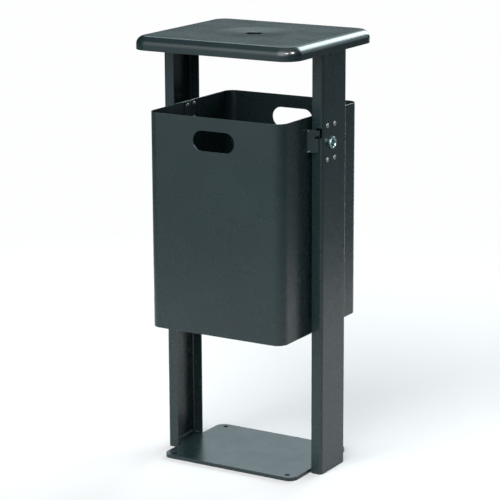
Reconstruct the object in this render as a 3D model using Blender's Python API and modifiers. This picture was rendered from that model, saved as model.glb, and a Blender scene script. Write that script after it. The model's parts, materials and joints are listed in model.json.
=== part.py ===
"""Street litter bin with an ashtray in its hood.

Two folded posts stand on a base plate and carry a hood. A basket hangs between them on two hook
plates: each has a tongue that runs through a cut-out in the post's front flange and rests on two
sloping shelves inside the post. A key lock in the right post turns a cam up into a notch of the
tongue. An ash pan hangs on two pivots under the hole in the hood.

Lengths are in metres. +X is the lock side, -Y the front, +Z up. The origin is on the ground, at the
middle of the base plate.
"""
import math

import bmesh
import bpy
from mathutils import Matrix, Vector

# ------------------------------------------------------------------ driving dimensions
TOTAL_HEIGHT = 1.000
GAP = 0.0003                 # between pieces that rest on each other

POST_SPAN = 0.4164           # over the outer faces of both webs
POST_DEPTH = 0.1102
POST_FLANGE = 0.0266
POST_SHEET = 0.003
POST_BEND = 0.0065           # outer bend radius
POST_TOP = 0.980

HOOD_WIDTH = 0.4214
HOOD_DEPTH = 0.383
HOOD_SKIRT = 0.0304
HOOD_SHEET = 0.002
HOOD_CORNER = 0.042
HOOD_EDGE = 0.019
DISH_RADIUS = 0.088
DISH_DROP = 0.0026
ASH_HOLE_RADIUS = 0.0195

BASKET_WIDTH = 0.350
BASKET_DEPTH = 0.354
BASKET_BOTTOM = 0.3305
BASKET_TOP = 0.8305
BASKET_SHEET = 0.0015
BASKET_CORNER = 0.0255
HANDHOLD_WIDTH = 0.107
HANDHOLD_HEIGHT = 0.046
HANDHOLD_Z = 0.777
FLOOR_RISE = 0.003           # the floor's underside above the basket's lower edge
DRAIN_RADIUS = 0.005
DRAIN_SPACING = 0.110

BASE_WIDTH = 0.353
BASE_DEPTH = 0.262
BASE_SHEET = 0.0085
BASE_CORNER = 0.022
BASE_TAB_DEPTH = 0.096
ANCHOR_X = 0.152
ANCHOR_Y = 0.114
ANCHOR_RADIUS = 0.006

# The basket leaves the posts forwards and upwards, along the slope of the shelves.
DRAW_SLOPE = math.radians(10.0)
RUNNER_Y = -0.046            # a point of the tongue's underside line
RUNNER_Z = 0.7833
LOCK_Y = -0.0185
LOCK_Z = 0.770
CUTOUT_X = (0.1925, 0.2060)
CUTOUT_Z = (0.782, 0.806)

SHEET = 0.003                # hook plates, receivers, post caps
RECEIVER_Y = (-0.047, 0.012)
RECEIVER_Z = (0.721, 0.822)
SHELVES_Y = ((-0.0465, -0.0385), (-0.001, 0.010))
SHELF_INSET = 0.0035         # how far the shelves reach past the tongue's inner face

TONGUE_X = 0.1945            # inner face of the tongue
TONGUE_TOP = 0.801
TONGUE_NECK = 0.789          # underside of the tongue inside the cut-out
TONGUE_FRONT = -0.0505
TONGUE_TAIL = 0.009
NOTCH_Y = (-0.0370, -0.0122)
HOOK_FRONT = -0.071
HOOK_REAR = 0.024
HOOK_LOW = 0.751
HOOK_HIGH = 0.804
HOOK_TOP = 0.827
WING_Y = -0.0556             # back face of the wing where it comes nearest to the flange
WING_TIP = 0.1995
WING_LIP = 0.002             # how far the wing reaches past its tip over the tongue
WING_SLOPE = 0.53            # how much the wing comes forward towards the basket's wall
BACKING_Y = 0.022
BACKING_Z = (0.778, 0.8285)
BACKING_SHEET = 0.002

# Rivets: shank and hole radii, then (radius, height) of each kind of head and set tail.
RIVET_RADIUS = 0.0024
RIVET_HOLE = 0.0027
POST_RIVETS_Y = (-0.034, -0.001)
POST_RIVETS_Z = (0.733, 0.810)
POST_RIVET_HEAD = (0.0055, 0.0028)
POST_RIVET_TAIL = (0.0045, 0.0020)
BASKET_RIVETS_Y = (-0.014, 0.014)
BASKET_RIVETS_Z = (0.788, 0.821)
BASKET_RIVET_HEAD = (0.0050, 0.0025)
BASKET_RIVET_TAIL = (0.0042, 0.0018)
PIVOT_HEAD = (0.0048, 0.0022)
PIVOT_TAIL = (0.0042, 0.0016)

BEZEL_RADIUS = 0.0135
BEZEL_HEIGHT = 0.0085
BARREL_RADIUS = 0.010
BARREL_END = -0.0104         # along the lock's axis, from the web's outer face
BORE_RADIUS = 0.0052
BORE_STEP = -0.0082
CORE_RADIUS = 0.007
CORE_FACE = 0.0022
CORE_NECK = 0.0050
CORE_STEM = 0.0040
CORE_END = -0.0140
TRIANGLE_RADIUS = 0.0054
TRIANGLE_TOP = 0.0072
LOCK_NUT_WIDTH = 0.024
LOCK_NUT_HEIGHT = 0.0037
CAM_X = (0.1944, 0.1974)
CAM_SCREW_X = 0.1939         # underside of the cam screw's head
CAM_SCREW_RADIUS = 0.0018
CAM_SCREW_HEAD = 0.0058
CAM_REACH = 0.013            # from the core's axis to the middle of the cam's round end
CAM_HUB = 0.0075
CAM_TIP = 0.005

STUD_X = 0.1885
STUD_Y = 0.032
STUD_RADIUS = 0.003
STUD_LENGTH = 0.0275
STUD_CLEARANCE = 0.0004
SPACER_RADIUS = 0.0058
HOOD_NUT_WIDTH = 0.010
HOOD_NUT_HEIGHT = 0.005
WELD_GAP = 0.0008            # under the hood, where a piece is welded to it

PAN_WIDTH = 0.128
PAN_FRONT = -0.065
PAN_BACK = 0.062
PAN_BOTTOM = 0.952
PAN_TOP = 0.989
PAN_SHEET = 0.0015
PAN_CORNER = 0.004
PAN_AXIS_Y = 0.068
PAN_AXIS_Z = 0.984
EAR_FRONT = 0.050
EAR_LOW = 0.975
EAR_TOP = 0.9895
EAR_RADIUS = 0.0055
EAR_SHEET = (0.0012, 0.0001) # inside the pan's outer face
HANGER_SHEET = 0.002
HANGER_Y = (0.052, 0.082)
HANGER_LOW = 0.990
HANGER_RADIUS = 0.0085
HANGER_CLEARANCE = 0.0013    # from the pan's outer face
HANGER_FOOT = 0.014

# ------------------------------------------------------------------ derived places
WEB_OUT = POST_SPAN / 2
WEB_IN = WEB_OUT - POST_SHEET
FLANGE_TIP = WEB_OUT - POST_FLANGE
FLANGE_OUT = POST_DEPTH / 2
FLANGE_IN = FLANGE_OUT - POST_SHEET
RECEIVER_OUT = WEB_IN - GAP
RECEIVER_IN = RECEIVER_OUT - SHEET
HOOK_IN = BASKET_WIDTH / 2 + GAP
HOOK_OUT = HOOK_IN + SHEET
BACKING_OUT = BASKET_WIDTH / 2 - BASKET_SHEET - GAP
BACKING_IN = BACKING_OUT - BACKING_SHEET
HOOD_UNDER = TOTAL_HEIGHT - HOOD_SHEET
CAP_TOP = POST_TOP - 0.0005
HANGER_IN = PAN_WIDTH / 2 + HANGER_CLEARANCE
HANGER_OUT = HANGER_IN + HANGER_SHEET
SIDES = (("left", -1), ("right", 1))


def runner(y):
    """Height of the tongue's sloping underside at the depth y."""
    return RUNNER_Z - (y - RUNNER_Y) * math.tan(DRAW_SLOPE)


# ------------------------------------------------------------------ scene and materials
for leftover in list(bpy.data.objects):
    bpy.data.objects.remove(leftover, do_unlink=True)

parts = bpy.data.collections.new("ashtray_bin")
cutters = bpy.data.collections.new("cutters")
bpy.context.scene.collection.children.link(parts)
bpy.context.scene.collection.children.link(cutters)


def material(name, colour, roughness, metallic):
    made = bpy.data.materials.new(name)
    made.use_nodes = True
    shader = made.node_tree.nodes["Principled BSDF"]
    shader.inputs["Base Color"].default_value = (*colour, 1.0)
    shader.inputs["Roughness"].default_value = roughness
    shader.inputs["Metallic"].default_value = metallic
    made.diffuse_color = (*colour, 1.0)
    return made


COAT = material("powder_coat", (0.045, 0.062, 0.068), 0.45, 0.0)
ZINC = material("zinc_plated", (0.42, 0.44, 0.44), 0.38, 1.0)
CHROME = material("chrome", (0.55, 0.58, 0.58), 0.18, 1.0)
GALVANISED = material("galvanised", (0.36, 0.38, 0.39), 0.5, 1.0)

# ------------------------------------------------------------------ modelling helpers
XY = Matrix.Identity(4)
YZ = Matrix(((0, 0, 1, 0), (1, 0, 0, 0), (0, 1, 0, 0), (0, 0, 0, 1)))
XZ = Matrix(((1, 0, 0, 0), (0, 0, -1, 0), (0, 1, 0, 0), (0, 0, 0, 1)))


def add_object(name, mesh, look, collection=None):
    made = bpy.data.objects.new(name, mesh)
    (collection or parts).objects.link(made)
    if look:
        mesh.materials.clear()
        mesh.materials.append(look)
    if collection is cutters:
        made.hide_render = True
        made.display_type = "WIRE"
    return made


def arc(centre, radius, start, end, steps):
    """Points on an arc, angles in degrees, both ends included."""
    points = []
    for step in range(steps + 1):
        angle = math.radians(start + (end - start) * step / steps)
        points.append((centre[0] + radius * math.cos(angle), centre[1] + radius * math.sin(angle)))
    return points


def circle(centre, radius, steps=16):
    return arc(centre, radius, 0, 360, steps)[:-1]


def rectangle(across, up):
    """Outline between two limits each way."""
    return [(across[0], up[0]), (across[1], up[0]), (across[1], up[1]), (across[0], up[1])]


def rounded_rectangle(width, height, radius, steps=6, centre=(0.0, 0.0)):
    outline = []
    corners = ((1, 1, 0), (-1, 1, 90), (-1, -1, 180), (1, -1, 270))
    for along, up, start in corners:
        middle = (centre[0] + along * (width / 2 - radius), centre[1] + up * (height / 2 - radius))
        outline += arc(middle, radius, start, start + 90, steps)
    return outline


def slab(name, outlines, low, high, plane, look, collection=None):
    """A flat sheet: outlines (the first one outside, the rest holes) filled between two levels."""
    curve = bpy.data.curves.new(name, "CURVE")
    curve.dimensions = "2D"
    curve.fill_mode = "BOTH"
    curve.extrude = abs(high - low) / 2
    for outline in outlines:
        spline = curve.splines.new("POLY")
        spline.points.add(len(outline) - 1)
        for point, (across, up) in zip(spline.points, outline):
            point.co = (across, up, 0.0, 1.0)
        spline.use_cyclic_u = True
    drawn = bpy.data.objects.new(name + "_outline", curve)
    parts.objects.link(drawn)
    drawn.matrix_world = plane @ Matrix.Translation((0, 0, (low + high) / 2 * level_sign(plane)))
    bpy.context.view_layer.update()
    evaluated = drawn.evaluated_get(bpy.context.evaluated_depsgraph_get())
    mesh = bpy.data.meshes.new_from_object(evaluated)
    weld(mesh)
    placed = drawn.matrix_world.copy()
    bpy.data.objects.remove(drawn, do_unlink=True)
    bpy.data.curves.remove(curve)
    made = add_object(name, mesh, look, collection)
    made.matrix_world = placed
    return made


def level_sign(plane):
    """The XZ plane's own third axis points to -Y, so its levels change sign."""
    return -1 if plane is XZ else 1


def weld(mesh):
    shape = bmesh.new()
    shape.from_mesh(mesh)
    bmesh.ops.remove_doubles(shape, verts=shape.verts, dist=0.00001)
    bmesh.ops.recalc_face_normals(shape, faces=shape.faces)
    shape.to_mesh(mesh)
    shape.free()


def block(name, low, high, look=None, collection=None):
    """A box between two corners, from the cube primitive."""
    shape = bmesh.new()
    size = [abs(b - a) for a, b in zip(low, high)]
    middle = [(a + b) / 2 for a, b in zip(low, high)]
    bmesh.ops.create_cube(shape, size=1.0)
    bmesh.ops.scale(shape, vec=size, verts=shape.verts)
    mesh = bpy.data.meshes.new(name)
    shape.to_mesh(mesh)
    shape.free()
    made = add_object(name, mesh, look, collection)
    made.location = middle
    return made


def cylinder(name, radius, low, high, steps=16, look=None, collection=None):
    """A cylinder along local Z between two levels."""
    shape = bmesh.new()
    bmesh.ops.create_cone(
        shape, cap_ends=True, segments=steps, radius1=radius, radius2=radius, depth=high - low
    )
    bmesh.ops.translate(shape, vec=(0, 0, (low + high) / 2), verts=shape.verts)
    mesh = bpy.data.meshes.new(name)
    shape.to_mesh(mesh)
    shape.free()
    return add_object(name, mesh, look, collection)


def turned(name, profile, steps, look, collection=None):
    """A turned piece about local Z; the profile runs down its outer side, from top to bottom."""
    mesh = bpy.data.meshes.new(name)
    edges = [(i, i + 1) for i in range(len(profile) - 1)]
    mesh.from_pydata([(radius, 0.0, up) for radius, up in profile], edges, [])
    made = add_object(name, mesh, look, collection)
    screw = made.modifiers.new("turn", "SCREW")
    screw.steps = steps
    screw.render_steps = steps
    screw.use_merge_vertices = True
    screw.merge_threshold = 0.00001
    return made


def combine(target, other, operation):
    """Cut another object out of the target, or join it to the target."""
    step = target.modifiers.new(operation.lower(), "BOOLEAN")
    step.operation = operation
    step.solver = "EXACT"
    step.object = other


def cut(target, *others):
    for other in others:
        combine(target, other, "DIFFERENCE")


def join(target, *others):
    for other in others:
        combine(target, other, "UNION")


def across(made, side, x, y, z):
    """Turn local Z to point outwards along X on one side, and place the object."""
    made.matrix_world = Matrix.Translation((side * x, y, z)) @ Matrix.Rotation(side * math.pi / 2, 4, "Y")
    return made


def axis_empty(name, place):
    empty = bpy.data.objects.new(name, None)
    parts.objects.link(empty)
    empty.location = place
    bpy.context.view_layer.update()
    return empty


def ride(empty, *pieces):
    """Parent pieces to the empty on their joint's axis, without moving them."""
    bpy.context.view_layer.update()
    for piece in pieces:
        placed = piece.matrix_world.copy()
        piece.parent = empty
        piece.matrix_parent_inverse = empty.matrix_world.inverted()
        piece.matrix_world = placed


# ------------------------------------------------------------------ frame
def base_plate():
    """Rounded plate with a tab into each post's channel and four anchor holes."""
    tab = WEB_IN - GAP
    half_tab = BASE_TAB_DEPTH / 2
    half_width = BASE_WIDTH / 2
    outline = []
    for side, starts in ((1, (270, 0)), (-1, (90, 180))):
        first, second = [
            arc((side * (half_width - BASE_CORNER), up * (BASE_DEPTH / 2 - BASE_CORNER)), BASE_CORNER,
                start, start + 90, 6)
            for up, start in zip((-side, side), starts)
        ]
        tab_end = [(half_width, -half_tab), (tab, -half_tab), (tab, half_tab), (half_width, half_tab)]
        outline += first + [(side * x, side * y) for x, y in tab_end] + second
    holes = [
        circle((x, y), ANCHOR_RADIUS, 20)
        for x in (-ANCHOR_X, ANCHOR_X)
        for y in (-ANCHOR_Y, ANCHOR_Y)
    ]
    return slab("base_plate", [outline, *holes], 0.0, BASE_SHEET, XY, COAT)


def post(name, side):
    """Folded channel, open towards the basket, with rivet holes and a cut-out for the tongue."""
    inner = POST_BEND - POST_SHEET
    web = WEB_OUT - POST_BEND
    flank = FLANGE_OUT - POST_BEND
    outline = [(FLANGE_TIP, FLANGE_IN), (FLANGE_TIP, FLANGE_OUT)]
    outline += reversed(arc((web, flank), POST_BEND, 0, 90, 6))
    outline += reversed(arc((web, -flank), POST_BEND, -90, 0, 6))
    outline += [(FLANGE_TIP, -FLANGE_OUT), (FLANGE_TIP, -FLANGE_IN)]
    outline += arc((web, -flank), inner, -90, 0, 4)
    outline += arc((web, flank), inner, 0, 90, 4)
    outline = [(side * x, y) for x, y in outline]
    made = slab(name, [outline], 0.0, POST_TOP, XY, COAT)
    for y in POST_RIVETS_Y:
        for z in POST_RIVETS_Z:
            depth = 2 * POST_SHEET
            hole = cylinder(name + "_rivet_hole", RIVET_HOLE, -depth, depth, 12, None, cutters)
            cut(made, across(hole, side, WEB_OUT, y, z))
    low = (side * CUTOUT_X[0], -FLANGE_OUT - POST_SHEET, CUTOUT_Z[0])
    high = (side * CUTOUT_X[1], -FLANGE_IN + 0.002, CUTOUT_Z[1])
    cut(made, block(name + "_cutout", low, high, None, cutters))
    return made


def receiver(name, side):
    """Plate riveted inside the web, with two sloping shelves that the tongue rests on."""
    outline = rectangle(RECEIVER_Y, RECEIVER_Z)
    holes = [circle((y, z), RIVET_HOLE, 12) for y in POST_RIVETS_Y for z in POST_RIVETS_Z]
    if side > 0:
        holes.append(circle((LOCK_Y, LOCK_Z), BARREL_RADIUS + GAP, 24))
    low, high = sorted((side * RECEIVER_IN, side * RECEIVER_OUT))
    made = slab(name, [outline, *holes], low, high, YZ, COAT)
    shelf_in = TONGUE_X - SHELF_INSET
    shelf_out = RECEIVER_IN + 0.001
    half_width = (shelf_out - shelf_in) / 2
    for start, end in SHELVES_Y:
        middle = (start + end) / 2
        half = (end - start) / 2
        corner = Vector((half_width, half, SHEET / 2))
        shelf = block(name + "_shelf", -corner, corner, None, cutters)
        centre = Vector((side * (shelf_in + half_width), middle, runner(middle) - GAP))
        slope = Matrix.Rotation(-DRAW_SLOPE, 4, "X")
        shelf.matrix_world = Matrix.Translation(centre) @ slope @ Matrix.Translation((0, 0, -SHEET / 2))
        join(made, shelf)
    return made


def post_cap(name, side):
    """Plate that closes the top of a post and carries the hood's studs."""
    half = FLANGE_IN - GAP
    radius = POST_BEND - POST_SHEET - GAP
    web = WEB_OUT - POST_BEND
    flank = FLANGE_OUT - POST_BEND
    outline = [(FLANGE_TIP + 0.0005, half), (FLANGE_TIP + 0.0005, -half)]
    outline += arc((web, -flank), radius, -90, 0, 4)
    outline += arc((web, flank), radius, 0, 90, 4)
    holes = [circle((STUD_X, y), STUD_RADIUS + STUD_CLEARANCE, 12) for y in (-STUD_Y, STUD_Y)]
    outlines = [[(side * x, y) for x, y in loop] for loop in (outline, *holes)]
    return slab(name, outlines, CAP_TOP - SHEET, CAP_TOP, XY, COAT)


def hexagon_nut(name, width, bore, low, high, steps):
    """Hexagon nut along local Z, of a width across its flats."""
    corners = circle((0.0, 0.0), width / math.sqrt(3), 6)
    return slab(name, [corners, circle((0.0, 0.0), bore, steps)], low, high, XY, ZINC)


def hood_fixings():
    """Spacer above and nut below each post cap, on the four studs of the hood."""
    rings = [circle((0, 0), SPACER_RADIUS, 16), circle((0, 0), STUD_RADIUS + STUD_CLEARANCE, 12)]
    nut_top = CAP_TOP - SHEET - GAP
    nut_low = nut_top - HOOD_NUT_HEIGHT
    for side_name, side in SIDES:
        for end_name, y in (("front", -STUD_Y), ("rear", STUD_Y)):
            label = side_name + "_" + end_name
            spacer = slab("hood_spacer_" + label, rings, CAP_TOP + GAP, HOOD_UNDER - WELD_GAP, XY, ZINC)
            nut = hexagon_nut("hood_nut_" + label, HOOD_NUT_WIDTH, STUD_RADIUS + GAP, nut_low, nut_top, 12)
            for made in (spacer, nut):
                made.matrix_world = Matrix.Translation((side * STUD_X, y, 0.0)) @ made.matrix_world


# ------------------------------------------------------------------ hood
def hood():
    """Pressed cap with rounded edges, a shallow dish round the cigarette hole, and weld studs."""
    shape = bmesh.new()
    bmesh.ops.create_cube(shape, size=1.0)
    bmesh.ops.scale(shape, vec=(HOOD_WIDTH, HOOD_DEPTH, HOOD_SKIRT), verts=shape.verts)
    bottom = [face for face in shape.faces if face.normal.z < -0.5]
    bmesh.ops.delete(shape, geom=bottom, context="FACES_ONLY")
    upright = [edge for edge in shape.edges if abs(edge.verts[0].co.z - edge.verts[1].co.z) > 0.01]
    bmesh.ops.bevel(
        shape, geom=upright, offset=HOOD_CORNER, segments=8, profile=0.5, affect="EDGES"
    )
    top = HOOD_SKIRT / 2 - 0.0001
    rim = [edge for edge in shape.edges if min(v.co.z for v in edge.verts) > top]
    rim = [edge for edge in rim if any(abs(face.normal.z) < 0.5 for face in edge.link_faces)]
    bmesh.ops.bevel(shape, geom=rim, offset=HOOD_EDGE, segments=6, profile=0.5, affect="EDGES")
    mesh = bpy.data.meshes.new("hood")
    shape.to_mesh(mesh)
    shape.free()
    made = add_object("hood", mesh, COAT)
    made.location = (0, 0, TOTAL_HEIGHT - HOOD_SKIRT / 2)
    skin = made.modifiers.new("sheet", "SOLIDIFY")
    skin.thickness = HOOD_SHEET
    skin.offset = -1.0
    skin.use_even_offset = True
    opening = cylinder("hood_dish_opening", DISH_RADIUS, -0.01, 0.01, 48, None, cutters)
    opening.location = (0, 0, HOOD_UNDER)
    cut(made, opening)
    inside = DISH_RADIUS - HOOD_SHEET
    lip = DISH_RADIUS + 0.0002
    profile = [
        (ASH_HOLE_RADIUS, -DISH_DROP),
        (inside, 0.0),
        (lip, 0.0),
        (lip, -HOOD_SHEET),
        (inside, -HOOD_SHEET),
        (ASH_HOLE_RADIUS, -DISH_DROP - HOOD_SHEET),
        (ASH_HOLE_RADIUS, -DISH_DROP),
    ]
    dish = turned("hood_dish", profile, 48, None, cutters)
    dish.location = (0, 0, TOTAL_HEIGHT)
    join(made, dish)
    for x in (-STUD_X, STUD_X):
        for y in (-STUD_Y, STUD_Y):
            stud = cylinder("hood_stud", STUD_RADIUS, -STUD_LENGTH, HOOD_SHEET / 2, 12, None, cutters)
            stud.location = (x, y, HOOD_UNDER)
            join(made, stud)
    return made


# ------------------------------------------------------------------ basket
def basket_shell():
    """Square tube with round corners and a hand-hold through the front and the back wall."""
    outer = rounded_rectangle(BASKET_WIDTH, BASKET_DEPTH, BASKET_CORNER)
    inner = rounded_rectangle(
        BASKET_WIDTH - 2 * BASKET_SHEET, BASKET_DEPTH - 2 * BASKET_SHEET, BASKET_CORNER - BASKET_SHEET
    )
    made = slab("basket_shell", [outer, inner], BASKET_BOTTOM, BASKET_TOP, XY, COAT)
    half = HANDHOLD_HEIGHT / 2
    reach = HANDHOLD_WIDTH / 2 - half
    outline = arc((reach, HANDHOLD_Z), half, -90, 90, 10)
    outline += arc((-reach, HANDHOLD_Z), half, 90, 270, 10)
    for face in (-1, 1):
        low, high = sorted((face * (BASKET_DEPTH / 2 - 0.01), face * (BASKET_DEPTH / 2 + 0.01)))
        cut(made, slab("hand_hold", [outline], low, high, XZ, None, cutters))
    for side in (-1, 1):
        for y in BASKET_RIVETS_Y:
            for z in BASKET_RIVETS_Z:
                hole = cylinder("basket_rivet_hole", RIVET_HOLE, -0.005, 0.005, 12, None, cutters)
                cut(made, across(hole, side, BASKET_WIDTH / 2, y, z))
    return made


def basket_floor():
    """Floor sheet between the walls, with nine drain holes."""
    inset = 2 * (BASKET_SHEET + GAP)
    outline = rounded_rectangle(
        BASKET_WIDTH - inset, BASKET_DEPTH - inset, BASKET_CORNER - BASKET_SHEET
    )
    spots = (-DRAIN_SPACING, 0.0, DRAIN_SPACING)
    holes = [circle((x, y), DRAIN_RADIUS, 12) for x in spots for y in spots]
    low = BASKET_BOTTOM + FLOOR_RISE
    return slab("basket_floor", [outline, *holes], low, low + BASKET_SHEET, XY, COAT)


def hook_plate(name, side):
    """Plate on the basket's wall, its wing in front of the post, and the tongue into the post."""
    wall_part = [
        (HOOK_FRONT, HOOK_LOW),
        (-0.030, HOOK_LOW),
        (HOOK_REAR, 0.776),
        (HOOK_REAR, HOOK_TOP),
        (-HOOK_REAR, HOOK_TOP),
        (-HOOK_REAR, HOOK_HIGH),
        (HOOK_FRONT, HOOK_HIGH),
    ]
    holes = [circle((y, z), RIVET_HOLE, 12) for y in BASKET_RIVETS_Y for z in BASKET_RIVETS_Z]
    low, high = sorted((side * HOOK_IN, side * HOOK_OUT))
    made = slab(name, [wall_part, *holes], low, high, YZ, COAT)
    root = HOOK_IN + 0.001
    low, high = HOOK_LOW + 0.001, HOOK_HIGH - 0.001
    wing_part = [
        (root, low),
        (WING_TIP, low),
        (WING_TIP, CUTOUT_Z[0] + 0.001),
        (CUTOUT_X[0], CUTOUT_Z[0] + 0.001),
        (CUTOUT_X[0], TONGUE_NECK - 0.0002),
        (WING_TIP + WING_LIP, TONGUE_NECK - 0.0002),
        (WING_TIP + WING_LIP, TONGUE_TOP + 0.0002),
        (CUTOUT_X[0], TONGUE_TOP + 0.0002),
        (CUTOUT_X[0], high),
        (root, high),
    ]
    wing_part = [(side * x, z) for x, z in wing_part]
    wing = slab(name + "_wing", [wing_part], WING_Y - SHEET, WING_Y, XZ, None, cutters)
    slanted = Matrix.Translation((0, -WING_TIP * WING_SLOPE, 0))
    slanted[1][0] = side * WING_SLOPE
    wing.data.transform(slanted @ wing.matrix_world)
    wing.matrix_world = Matrix.Identity(4)
    join(made, wing)
    notch_start, notch_end = NOTCH_Y
    foot_end = notch_start - 0.001
    notch_top = LOCK_Z + CAM_REACH + CAM_TIP + 2 * GAP
    tongue_start = WING_Y - SHEET - 0.0008
    tongue_part = [
        (tongue_start, TONGUE_NECK),
        (TONGUE_FRONT - 0.0007, TONGUE_NECK),
        (TONGUE_FRONT, runner(TONGUE_FRONT)),
        (foot_end, runner(foot_end)),
        (notch_start, notch_top),
        (notch_end, notch_top),
        (notch_end, runner(notch_end)),
        (TONGUE_TAIL, runner(TONGUE_TAIL)),
        (TONGUE_TAIL, TONGUE_TOP - 0.009),
        (TONGUE_FRONT, TONGUE_TOP),
        (tongue_start, TONGUE_TOP),
    ]
    low, high = sorted((side * TONGUE_X, side * (TONGUE_X + SHEET)))
    join(made, slab(name + "_tongue", [tongue_part], low, high, YZ, None, cutters))
    return made


def backing_plate(name, side):
    """Stiffening plate inside the basket wall, under the rivet heads."""
    outline = rectangle((-BACKING_Y, BACKING_Y), BACKING_Z)
    holes = [circle((y, z), RIVET_HOLE, 12) for y in BASKET_RIVETS_Y for z in BASKET_RIVETS_Z]
    low, high = sorted((side * BACKING_IN, side * BACKING_OUT))
    return slab(name, [outline, *holes], low, high, YZ, COAT)


# ------------------------------------------------------------------ fasteners
def rivet_profile(grip, head, tail):
    """Dome head above local zero, shank through the grip, and a set tail below."""
    radius, height = head
    profile = [(0.0, height), (radius * 0.55, height * 0.86), (radius * 0.88, height * 0.45), (radius, 0.0)]
    profile += [(RIVET_RADIUS, 0.0), (RIVET_RADIUS, -grip)]
    radius, height = tail
    profile += [(radius, -grip), (radius * 0.8, -grip - height), (0.0, -grip - height)]
    return profile


def rivets():
    """Four rivets through each post and receiver, and four through each basket wall."""
    post_grip = WEB_OUT - RECEIVER_IN + 2 * GAP
    basket_grip = HOOK_OUT - BACKING_IN + 2 * GAP
    for side_name, side in SIDES:
        count = 0
        for y in POST_RIVETS_Y:
            for z in POST_RIVETS_Z:
                count += 1
                profile = rivet_profile(post_grip, POST_RIVET_HEAD, POST_RIVET_TAIL)
                made = turned(f"{side_name}_post_rivet_{count}", profile, 12, ZINC)
                across(made, side, WEB_OUT + GAP, y, z)
        count = 0
        for y in BASKET_RIVETS_Y:
            for z in BASKET_RIVETS_Z:
                count += 1
                profile = rivet_profile(basket_grip, BASKET_RIVET_HEAD, BASKET_RIVET_TAIL)
                made = turned(f"{side_name}_basket_rivet_{count}", profile, 12, ZINC)
                across(made, -side, -(BACKING_IN - GAP), y, z)


# ------------------------------------------------------------------ lock
def lock():
    """Key lock: fixed housing and nut, turning core with its raised triangle, cam and screw."""
    seat = CORE_RADIUS + 0.0002
    chamfer = 0.0012
    housing_profile = [
        (seat, BEZEL_HEIGHT),
        (BEZEL_RADIUS - chamfer, BEZEL_HEIGHT),
        (BEZEL_RADIUS, BEZEL_HEIGHT - chamfer),
        (BEZEL_RADIUS, GAP),
        (BARREL_RADIUS, GAP),
        (BARREL_RADIUS, BARREL_END),
        (BORE_RADIUS, BARREL_END),
        (BORE_RADIUS, BORE_STEP),
        (seat, BORE_STEP),
        (seat, BEZEL_HEIGHT),
    ]
    housing = turned("lock_housing", housing_profile, 32, CHROME)
    across(housing, 1, WEB_OUT, LOCK_Y, LOCK_Z)
    half = LOCK_NUT_HEIGHT / 2
    nut = hexagon_nut("lock_nut", LOCK_NUT_WIDTH, BARREL_RADIUS + 0.0002, -half, half, 24)
    across(nut, 1, RECEIVER_IN - GAP - half, LOCK_Y, LOCK_Z)

    step = BORE_STEP + GAP
    screw_hole = CAM_SCREW_RADIUS + GAP
    core_profile = [
        (0.0, CORE_FACE),
        (CORE_RADIUS, CORE_FACE),
        (CORE_RADIUS, step),
        (CORE_NECK, step),
        (CORE_NECK, BARREL_END - 0.0002),
        (CORE_STEM, BARREL_END - 0.0002),
        (CORE_STEM, CORE_END),
        (screw_hole, CORE_END),
        (screw_hole, step - 0.0006),
        (0.0, step - 0.0006),
    ]
    core = turned("lock_core", core_profile, 24, CHROME)
    across(core, 1, WEB_OUT, LOCK_Y, LOCK_Z)
    corners = circle((0.0, 0.0), TRIANGLE_RADIUS, 3)
    triangle = slab("core_triangle", [corners], CORE_FACE / 2, TRIANGLE_TOP, XY, None, cutters)
    triangle.matrix_world = core.matrix_world @ triangle.matrix_world
    join(core, triangle)

    # The cam points to the front when the lock is open, and up when it is locked.
    tangent = math.degrees(math.acos((CAM_HUB - CAM_TIP) / CAM_REACH))
    outline = arc((0.0, 0.0), CAM_HUB, 180 + tangent, 540 - tangent, 12)
    outline += arc((-CAM_REACH, 0.0), CAM_TIP, 180 - tangent, 180 + tangent, 8)
    outline = [(LOCK_Y + y, LOCK_Z + z) for y, z in outline]
    hole = circle((LOCK_Y, LOCK_Z), CORE_STEM + 0.0002, 16)
    cam = slab("lock_cam", [outline, hole], *CAM_X, YZ, ZINC)
    screw_profile = [
        (0.0, 0.0048),
        (CAM_SCREW_RADIUS, 0.0048),
        (CAM_SCREW_RADIUS, 0.0),
        (CAM_SCREW_HEAD, 0.0),
        (CAM_SCREW_HEAD, -0.0020),
        (CAM_SCREW_HEAD - 0.0008, -0.0028),
        (0.0, -0.0028),
    ]
    screw = turned("lock_cam_screw", screw_profile, 16, ZINC)
    across(screw, 1, CAM_SCREW_X, LOCK_Y, LOCK_Z)
    ride(axis_empty("lock_turn_axis", (WEB_OUT, LOCK_Y, LOCK_Z)), core, cam, screw)


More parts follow.
